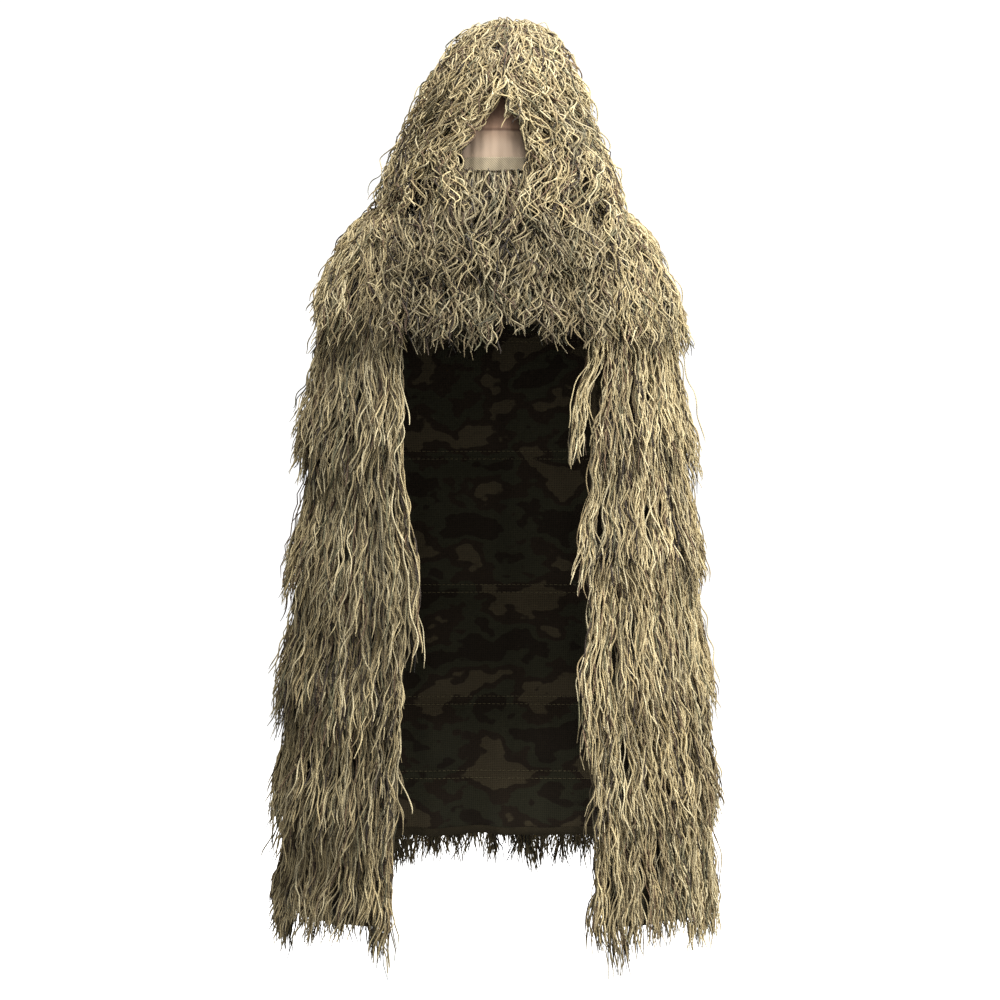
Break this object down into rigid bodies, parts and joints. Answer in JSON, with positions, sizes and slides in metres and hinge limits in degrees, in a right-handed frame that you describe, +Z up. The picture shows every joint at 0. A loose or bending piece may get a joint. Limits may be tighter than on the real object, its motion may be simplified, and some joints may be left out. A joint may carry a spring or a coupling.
{
  "type": "ghillie suit",
  "caption": "Hooded ghillie cape in worn shape: hood with lift-up face veil, snap-closed chest bib, shoulder yoke, back and two front panels under shingled yarn fringe.",
  "frame": {"origin": "neck seat on the wearer's shoulders, at the middle of the yoke's neckline", "axes": "+Z up to the hood's crown, the wearer faces -Y, +X is the wearer's left"},
  "size_m": [0.7742, 0.4468, 1.5684],
  "materials": {
    "camo_mesh": "open woven camouflage mesh, matt, dark olive and brown",
    "yarn": "matt loose-spun yarn, mixed khaki, tan, olive and dark brown strands",
    "veil_mesh": "sheer fine knitted net, matt",
    "tape": "flat woven binding tape, matt",
    "snap_metal": "dark satin lacquer on pressed brass"
  },
  "bodies": {
    "cape": {"yoke_back": "camo_mesh", "yoke_left": "camo_mesh", "yoke_right": "camo_mesh", "neck_binding": "tape", "back_panel": "camo_mesh", "back_hem_tape": "tape", "shoulder_fringe_back": "yarn", "shoulder_fringe_left": "yarn", "shoulder_fringe_right": "yarn", "back_fringe_1": "yarn", "back_fringe_2": "yarn", "back_fringe_3": "yarn", "back_fringe_4": "yarn", "back_fringe_5": "yarn", "snap_stud_1": "snap_metal", "snap_stud_2": "snap_metal", "snap_stud_3": "snap_metal"},
    "hood": {"hood_shell": "camo_mesh", "face_opening_binding": "tape", "hood_fringe_crown": "yarn", "hood_fringe_1": "yarn", "hood_fringe_2": "yarn", "hood_fringe_3": "yarn"},
    "veil": {"face_veil": "veil_mesh", "veil_hem": "tape", "brow_fringe": "yarn"},
    "bib": {"bib_flap": "camo_mesh", "bib_hem_tape": "tape", "bib_fringe_1": "yarn", "bib_fringe_2": "yarn", "bib_fringe_3": "yarn", "snap_socket_1": "snap_metal", "snap_socket_2": "snap_metal", "snap_socket_3": "snap_metal"},
    "left_front": {"left_panel": "camo_mesh", "left_edge_binding": "tape", "left_hem_tape": "tape", "left_fringe_1": "yarn", "left_fringe_2": "yarn", "left_fringe_3": "yarn", "left_fringe_4": "yarn", "left_fringe_5": "yarn"},
    "right_front": {"right_panel": "camo_mesh", "right_edge_binding": "tape", "right_hem_tape": "tape", "right_fringe_1": "yarn", "right_fringe_2": "yarn", "right_fringe_3": "yarn", "right_fringe_4": "yarn", "right_fringe_5": "yarn"}
  },
  "joints": [
    {"name": "hood_tilt", "type": "hinge", "parent": "cape", "child": "hood", "pos_m": [0, 0.196, -0.015], "axis": [-1, 0, 0], "range_deg": [0, 90]},
    {"name": "veil_lift", "type": "hinge", "parent": "hood", "child": "veil", "pos_m": [0.009, -0.133, 0.196], "axis": [-1, 0, 0], "range_deg": [0, 75]},
    {"name": "bib_open", "type": "hinge", "parent": "cape", "child": "bib", "pos_m": [-0.163, -0.142, -0.1], "axis": [0, 0, -1], "range_deg": [0, 80]},
    {"name": "left_front_swing", "type": "hinge", "parent": "cape", "child": "left_front", "pos_m": [0.263, 0.166, -0.216], "axis": [-0.0473, -0.0145, 0.9988], "range_deg": [0, 55]},
    {"name": "right_front_swing", "type": "hinge", "parent": "cape", "child": "right_front", "pos_m": [-0.263, 0.166, -0.216], "axis": [-0.0473, 0.0145, -0.9988], "range_deg": [0, 55]}
  ]
}
